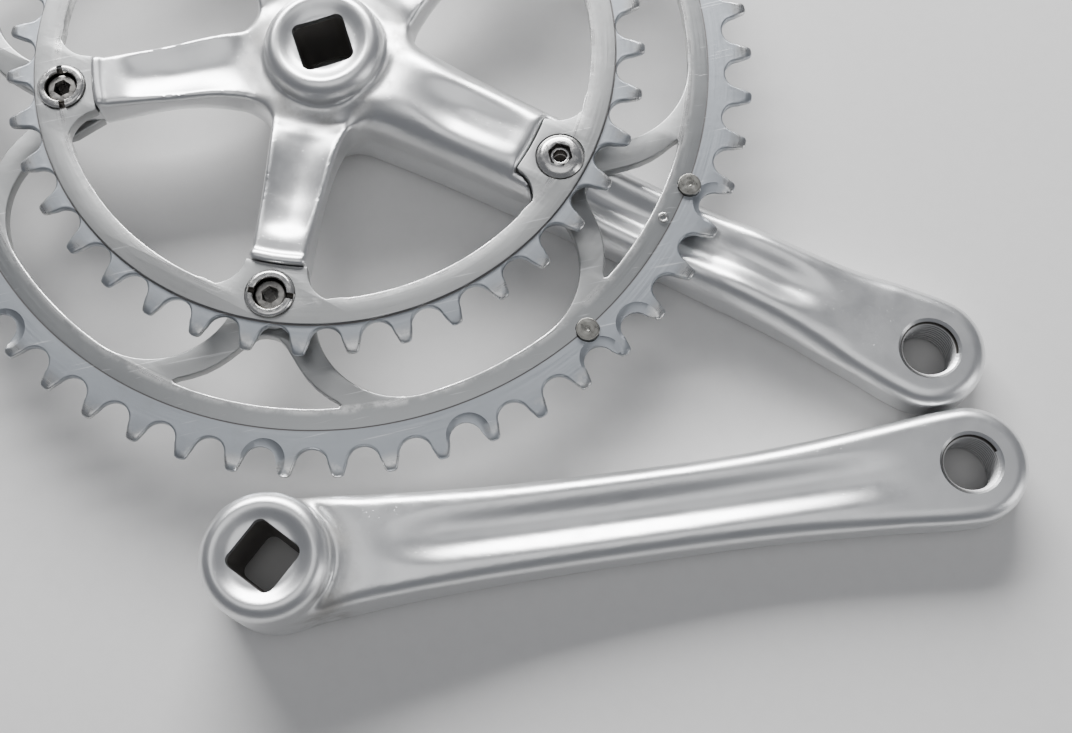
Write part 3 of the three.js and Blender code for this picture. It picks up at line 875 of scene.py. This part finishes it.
def shift_pin(node):
    place = spot_of(node)
    low, high = node_height(node)
    profile = rounded_profile(
        [(0, low), (2.9, low), (2.9, high), (0.5, high), (0.35, high - 0.12), (0, high - 0.12)],
        [0, 0.15, 0.15, 0.05, 0.03, 0])
    return shade(lathe("fine_" + node, profile, place, 48))


def drop_pin(node):
    place = spot_of(node)
    low, high = node_height(node)
    profile = rounded_profile(
        [(0.6, low), (1.35, low), (1.35, high), (0.85, high), (0.6, high - 0.3)],
        [0.1, 0.1, 0.25, 0.15, 0.05])
    return shade(lathe("fine_" + node, profile, place, 48))


# ------------------------------------------------------------------ finishes


# The Mix node's colour sockets: two in, one out.
MIX_UNDER = 6
MIX_OVER = 7
MIX_RESULT = 2


class Finish:
    """A node material on a Principled shader, built up step by step."""

    def __init__(self, name, colour, roughness, metallic=1.0):
        self.material = bpy.data.materials.new(name)
        self.material.use_nodes = True
        self.nodes = self.material.node_tree.nodes
        self.links = self.material.node_tree.links
        self.shader = self.nodes["Principled BSDF"]
        self.shader.inputs["Metallic"].default_value = metallic
        self.shader.inputs["Base Color"].default_value = (*colour, 1)
        self.shader.inputs["Roughness"].default_value = roughness
        self.place = self.nodes.new("ShaderNodeTexCoord").outputs["Object"]

    def math(self, operation, first, second=0.0, third=None):
        node = self.nodes.new("ShaderNodeMath")
        node.operation = operation
        for socket, value in zip(node.inputs, (first, second, third)):
            self.feed(socket, value)
        return node.outputs[0]

    def feed(self, socket, value):
        if value is None:
            return
        if isinstance(value, bpy.types.NodeSocket):
            self.links.new(value, socket)
        else:
            socket.default_value = value

    def mapped(self, move=(0, 0, 0), turn=0.0, scale=(1, 1, 1)):
        """The place on the piece, moved, then turned about Z, then scaled."""
        shift = self.nodes.new("ShaderNodeVectorMath")
        shift.operation = "SUBTRACT"
        self.links.new(self.place, shift.inputs[0])
        shift.inputs[1].default_value = move
        node = self.nodes.new("ShaderNodeMapping")
        self.links.new(shift.outputs[0], node.inputs["Vector"])
        node.inputs["Rotation"].default_value = (0, 0, -turn)
        stretch = self.nodes.new("ShaderNodeVectorMath")
        stretch.operation = "MULTIPLY"
        self.links.new(node.outputs[0], stretch.inputs[0])
        stretch.inputs[1].default_value = scale
        return stretch.outputs[0]

    def noise(self, vector, scale=1.0, detail=4.0, roughness=0.55):
        node = self.nodes.new("ShaderNodeTexNoise")
        self.links.new(vector, node.inputs["Vector"])
        node.inputs["Scale"].default_value = scale
        node.inputs["Detail"].default_value = detail
        node.inputs["Roughness"].default_value = roughness
        return node.outputs["Fac"]

    def ramp(self, value, start, end, low=0.0, high=1.0):
        """value from start..end to low..high, smooth and clamped."""
        node = self.nodes.new("ShaderNodeMapRange")
        node.interpolation_type = "SMOOTHSTEP"
        for name, number in (("From Min", start), ("From Max", end), ("To Min", low), ("To Max", high)):
            node.inputs[name].default_value = number
        self.feed(node.inputs["Value"], value)
        return node.outputs["Result"]

    def radius_about(self, x, y):
        """Millimetres from a vertical axis, and the angle about it."""
        split = self.nodes.new("ShaderNodeSeparateXYZ")
        self.links.new(self.mapped(move=(x, y, 0), scale=(1000, 1000, 1000)), split.inputs[0])
        across = self.math("MULTIPLY", split.outputs[0], split.outputs[0])
        radius = self.math("SQRT", self.math("MULTIPLY_ADD", split.outputs[1], split.outputs[1], across))
        angle = self.math("ARCTAN2", split.outputs[1], split.outputs[0])
        return radius, angle

    def inside(self, x, y, radius, top):
        """1 within a vertical bore's radius and under its mouth, all in millimetres."""
        away, _ = self.radius_about(x, y)
        split = self.nodes.new("ShaderNodeSeparateXYZ")
        self.links.new(self.mapped(scale=(1000, 1000, 1000)), split.inputs[0])
        below = self.ramp(split.outputs[2], top + 0.4, top - 0.4)
        return self.math("MULTIPLY", self.ramp(away, radius + 0.1, radius - 0.1), below)

    def joined_vector(self, x, y):
        node = self.nodes.new("ShaderNodeCombineXYZ")
        self.feed(node.inputs[0], x)
        self.feed(node.inputs[1], y)
        return node.outputs[0]

    def blend(self, amount, colour):
        """Lays a colour over the base colour by amount."""
        socket = self.shader.inputs["Base Color"]
        node = self.nodes.new("ShaderNodeMix")
        node.data_type = "RGBA"
        if socket.is_linked:
            self.links.new(socket.links[0].from_socket, node.inputs[MIX_UNDER])
        else:
            node.inputs[MIX_UNDER].default_value = socket.default_value
        node.inputs[MIX_OVER].default_value = (*colour, 1)
        self.feed(node.inputs[0], amount)
        self.links.new(node.outputs[MIX_RESULT], socket)

    def set_roughness(self, value):
        self.feed(self.shader.inputs["Roughness"], value)

    def bump(self, value, strength, distance):
        """Adds one layer of relief."""
        node = self.nodes.new("ShaderNodeBump")
        node.inputs["Strength"].default_value = strength
        node.inputs["Distance"].default_value = distance
        self.links.new(value, node.inputs["Height"])
        socket = self.shader.inputs["Normal"]
        if socket.is_linked:
            self.links.new(socket.links[0].from_socket, node.inputs["Normal"])
        self.links.new(node.outputs[0], socket)


POLISHED = (0.80, 0.805, 0.81)
HAZE = (0.66, 0.665, 0.67)
# Dirt with painted shade, for the hollow ring about the boss.
GRIME_AND_PAINTED_SHADE = (0.42, 0.41, 0.39)
BORE_SHADE = (0.24, 0.23, 0.22)
# Painted shade down the pedal bore, darkest at the thread roots.
THREAD_ROOT_PAINTED_SHADE = (0.07, 0.065, 0.06)


def forged_finish(name, x, y, angle, height):
    """Polished forging: fine buffing along the arm, soft waves, dirt and painted shade about the boss,
    painted shade in the socket's bore and down the pedal bore's threads.
    """
    finish = Finish(name, POLISHED, 0.26)
    waves = finish.noise(finish.mapped((x, y, 0), angle), 45, 3)
    buffing = finish.noise(finish.mapped((x, y, 0), angle, (0.06, 1, 1)), 2600, 4, 0.7)
    patches = finish.noise(finish.place, 130, 5, 0.6)
    pits = finish.noise(finish.place, 1900, 2, 0.4)
    radius, _ = finish.radius_about(x, y)
    # The hollow ring about the boss: painted shade mixed with dirt in random patches.
    valley = finish.math("MULTIPLY", finish.ramp(radius, 15.2, 16.6), finish.ramp(radius, 24.0, 18.5))
    valley_grime_and_shade = finish.math("MULTIPLY", valley, finish.ramp(patches, 0.35, 0.7, 0.1, 0.8))
    finish.blend(finish.ramp(patches, 0.45, 0.75, 0.0, 0.22), HAZE)
    finish.blend(valley_grime_and_shade, GRIME_AND_PAINTED_SHADE)
    # Painted shade inside the socket and the extractor bore.
    bore = finish.inside(x, y, 12.0, height - 3.4)
    finish.blend(bore, BORE_SHADE)
    eye = Vector((x, y)) + CRANK_LENGTH * MM * Vector((math.cos(angle), math.sin(angle)))
    from_eye, _ = finish.radius_about(*eye)
    # Painted shade down the pedal bore: lighter on the thread crests, darkest at the roots.
    mouth = finish.inside(*eye, PEDAL_BORE + 0.3, EYE_THICKNESS - 0.9)
    outermost = finish.ramp(from_eye, PEDAL_BORE - 0.5, PEDAL_BORE - 0.2, 0.35, 1.0)
    root = finish.math("MULTIPLY", mouth, outermost)
    finish.blend(root, THREAD_ROOT_PAINTED_SHADE)
    dull = finish.math("MAXIMUM", finish.math("MAXIMUM", valley_grime_and_shade, bore), mouth)
    base = finish.ramp(patches, 0.3, 0.75, 0.30, 0.36)
    finish.set_roughness(finish.math("ADD", base, finish.math("MULTIPLY", dull, 0.25)))
    finish.bump(waves, 0.10, 0.0005)
    finish.bump(buffing, 0.10, 0.00006)
    finish.bump(finish.ramp(pits, 0.30, 0.24), 0.25, 0.00008)
    return finish.material


RING_SATIN = (0.41, 0.415, 0.415)
RING_PATCH = (0.32, 0.32, 0.32)
# Painted shade on the outer ring's rim cone, a little darker than its flat web.
RIM_CONE_PAINTED_SHADE = (0.38, 0.39, 0.395)
BAND_BLUE = (0.37, 0.40, 0.44)
# A painted shade line at the foot of the step down to the toothed band.
STEP_FOOT_PAINTED_SHADE = (0.12, 0.105, 0.095)
SCRATCH = (0.74, 0.75, 0.76)
CHAFED = (0.84, 0.84, 0.83)
WORN_TIP = (0.66, 0.66, 0.65)


def ring_finish(name, step_radius, root_radius, rim_edge, cone=0.0):
    """Anodised ring: satin body, smoother bluish toothed band, tips and inner edge worn bright, a painted
    shade line at the foot of the step, and painted shade on the outer ring's rim cone.
    """
    finish = Finish(name, RING_SATIN, 0.42)
    radius, angle = finish.radius_about(SPINDLE.x, SPINDLE.y)
    patches = finish.noise(finish.place, 160, 5, 0.65)
    turned = finish.noise(finish.joined_vector(finish.math("MULTIPLY", radius, 2.2), angle), 3.0, 5, 0.7)
    scratches = finish.noise(finish.mapped(turn=0.7, scale=(0.03, 1, 1)), 1700, 2, 0.5)
    scratched = finish.ramp(scratches, 0.66, 0.74)
    band = finish.ramp(radius, step_radius - 0.1, step_radius + 0.1)
    # A narrow ring at the foot of the step, darkened as a painted shade line.
    groove = finish.math("MULTIPLY", band, finish.ramp(radius, step_radius + 0.45, step_radius + 0.2))
    tips = finish.math("MULTIPLY", finish.ramp(radius, root_radius + 2.0, root_radius + 5.6),
                       finish.ramp(patches, 0.40, 0.62))
    chafed = finish.math("MULTIPLY", finish.ramp(radius, rim_edge + 2.2, rim_edge + 0.4),
                         finish.ramp(radius, rim_edge - 0.8, rim_edge - 0.2))
    chafed = finish.math("MULTIPLY", chafed, finish.ramp(patches, 0.38, 0.60))
    # The rim cone, on the outer ring only, takes its painted shade.
    rim = finish.math("MULTIPLY", finish.ramp(radius, step_radius - 4.3, step_radius - 4.1),
                      finish.math("SUBTRACT", 1.0, band))
    rim = finish.math("MULTIPLY", rim, cone)
    finish.blend(finish.math("MULTIPLY", rim, 0.8), RIM_CONE_PAINTED_SHADE)
    finish.blend(finish.math("MULTIPLY", band, 0.75), BAND_BLUE)
    finish.blend(finish.math("MULTIPLY", groove, 0.85), STEP_FOOT_PAINTED_SHADE)
    finish.blend(finish.ramp(patches, 0.52, 0.8, 0.0, 0.35), RING_PATCH)
    finish.blend(finish.math("MULTIPLY", scratched, 0.5), SCRATCH)
    finish.blend(chafed, CHAFED)
    finish.blend(tips, WORN_TIP)
    bright = finish.math("MAXIMUM", finish.math("MAXIMUM", chafed, tips), finish.math("MULTIPLY", rim, 0.3))
    rough = finish.ramp(turned, 0.3, 0.7, 0.34, 0.46)
    finish.set_roughness(finish.math("SUBTRACT", rough, finish.math("MULTIPLY", bright, 0.14)))
    finish.bump(turned, 0.12, 0.00012)
    finish.bump(patches, 0.15, 0.0004)
    finish.bump(scratched, 0.15, 0.00005)
    return finish.material


PLATED_STEEL = (0.74, 0.73, 0.715)
OILED_STEEL = (0.30, 0.29, 0.275)
TURNED_STEEL = (0.34, 0.335, 0.31)
STEEL_HAZE = (0.50, 0.49, 0.47)
TURNING_MARK = (0.16, 0.155, 0.145)
# Oil and painted shade inside bores, hexagons and a nut's slots.
BORE_OIL_AND_PAINTED_SHADE = (0.06, 0.055, 0.05)
RECESS_SHADE = (0.10, 0.095, 0.09)


def steel_finish(name, node, colour=PLATED_STEEL, rings=2.6, bore=2.3, depth=1.2, roughness=0.2, turned=0.0,
                 recess=None):
    """Plated steel with turning marks about the piece's own axis, oil and painted shade in its bore, and
    painted shade in a recess if it has one, given as (radius from, radius to, depth) in millimetres."""
    middle = centre(node)
    finish = Finish(name, colour, roughness)
    radius, _ = finish.radius_about(middle.x, middle.y)
    marks = finish.noise(finish.joined_vector(radius, 0.0), rings, 4, 0.7)
    patches = finish.noise(finish.place, 700, 4, 0.6)
    finish.blend(finish.ramp(patches, 0.5, 0.75, 0.0, 0.3), STEEL_HAZE)
    finish.blend(finish.ramp(marks, 0.42, 0.58, 0.0, turned), TURNING_MARK)
    top = node_height(node)[1]
    # Oil and painted shade: darker within the bore's radius under its mouth, which takes in a sleeve nut's
    # slots.
    finish.blend(finish.inside(middle.x, middle.y, bore, top - depth), BORE_OIL_AND_PAINTED_SHADE)
    if recess is not None:
        start, end, fall = recess
        walls = finish.inside(middle.x, middle.y, end, top - fall)
        finish.blend(finish.math("MULTIPLY", walls, finish.ramp(radius, start, start + 0.1)), RECESS_SHADE)
    finish.set_roughness(finish.ramp(patches, 0.3, 0.7, roughness - 0.05, roughness + 0.1))
    finish.bump(marks, 0.12, 0.0002)
    finish.bump(patches, 0.06, 0.0001)
    return finish.material


def dress(piece, material, body, slot, *nodes):
    piece.data.materials.clear()
    piece.data.materials.append(material)
    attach(piece, body)
    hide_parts(*nodes)


# ------------------------------------------------------------------ the crankset

dress(drive_crank(), forged_finish("forged_drive", SPINDLE.x, SPINDLE.y, 0, DRIVE_HEIGHT),
      "drive_side", "forged_alloy", "drive_crank_arm")
dress(left_crank(), forged_finish("forged_left", LEFT_AXIS.x, LEFT_AXIS.y, LEFT_ANGLE, LEFT_HEIGHT),
      "left_crank", "forged_alloy", "left_crank_arm")
dress(inner_ring(), ring_finish("inner_ring_satin", INNER_STEP, 74.9, INNER_EDGE),
      "drive_side", "ring_alloy", "inner_chainring")
dress(outer_ring(), ring_finish("outer_ring_satin", OUTER_STEP, 103.1, OUTER_EDGE, 1.0),
      "drive_side", "ring_alloy", "outer_chainring")
dress(spacer("arm_bolt_spacer"), steel_finish("spacer_alloy", "arm_bolt_spacer"),
      "drive_side", "spacer_alloy", "arm_bolt_spacer")
dress(drop_pin("chain_drop_pin"), steel_finish("drop_pin_steel", "chain_drop_pin", bore=0.8, depth=0.5),
      "drive_side", "plated_steel", "chain_drop_pin")
dress(arm_bolt("arm_chainring_bolt"),
      steel_finish("arm_bolt_steel", "arm_chainring_bolt", bore=1.75, recess=(COLLAR_RADIUS, 3.4, 0.6)),
      "arm_bolt", "plated_steel", "arm_chainring_bolt")
for n in (1, 2, 3, 4):
    nut = f"chainring_nut_{n}"
    bolt = f"chainring_bolt_{n}"
    dress(sleeve_nut(nut), steel_finish(f"nut_steel_{n}", nut, bore=5.7, depth=0.7),
          f"nut_{n}", "plated_steel", nut)
    dress(chainring_bolt(bolt), steel_finish(f"bolt_steel_{n}", bolt, OILED_STEEL, roughness=0.3),
          f"bolt_{n}", "plated_steel", bolt)
for n in range(1, 7):
    pin = f"shift_pin_{n}"
    dress(shift_pin(pin),
          steel_finish(f"pin_steel_{n}", pin, TURNED_STEEL, rings=2.2, bore=0.3, roughness=0.3, turned=0.6),
          "drive_side", "plated_steel", pin)

# ------------------------------------------------------------------ stage, light and camera


def floor():
    half = 3.0
    ground = mesh_object("floor", [(-half, -half, 0), (half, -half, 0), (half, half, 0), (-half, half, 0)],
                         [(0, 1, 2, 3)])
    finish = Finish("pale_floor", (0.72, 0.715, 0.71), 0.62, 0.0)
    grain = finish.noise(finish.place, 240, 6, 0.6)
    finish.blend(finish.ramp(grain, 0.4, 0.7, 0.0, 0.25), (0.66, 0.655, 0.65))
    finish.bump(grain, 0.08, 0.0004)
    ground.data.materials.append(finish.material)


def softbox(name, place, target, width, height, power):
    light = bpy.data.lights.new(name, "AREA")
    light.shape = "RECTANGLE"
    light.size = width
    light.size_y = height
    light.energy = power
    lamp = new_object(name, light)
    lamp.location = place
    lamp.rotation_euler = (Vector(target) - Vector(place)).to_track_quat("-Z", "Y").to_euler()


def world(strength):
    studio = bpy.data.worlds.new("studio")
    studio.use_nodes = True
    sky = studio.node_tree.nodes["Background"]
    sky.inputs["Color"].default_value = (0.9, 0.93, 1.0, 1)
    sky.inputs["Strength"].default_value = strength
    bpy.context.scene.world = studio


def camera():
    """Looks steeply down from beyond the left crank, as far off as a normal lens needs."""
    aim = SPINDLE.xy.to_3d() + Vector((0.0861, -0.0499, 0.020))
    elevation = math.radians(73)
    heading = math.radians(-30)
    distance = 0.3645
    roll = math.radians(-3.1)
    forward = Vector((math.sin(heading) * math.cos(elevation), math.cos(heading) * math.cos(elevation),
                      -math.sin(elevation)))
    lens = bpy.data.cameras.new("camera")
    lens.lens = 50.4
    lens.sensor_width = 36
    lens.clip_start = 0.01
    eye = new_object("camera", lens)
    eye.location = aim - forward * distance
    turn = forward.to_track_quat("-Z", "Y").to_matrix().to_4x4() @ Matrix.Rotation(roll, 4, "Z")
    eye.rotation_euler = turn.to_euler()
    bpy.context.scene.camera = eye


floor()
world(0.20)
softbox("window", (-0.60, 0.80, 0.58), (0, 0, 0), 1.05, 0.55, 38)
softbox("ceiling", (0.1, -0.2, 1.3), (0.05, -0.05, 0), 1.1, 0.9, 3)
softbox("side", (0.9, 0.1, 0.3), (0, 0, 0.02), 0.3, 0.6, 1.5)
camera()
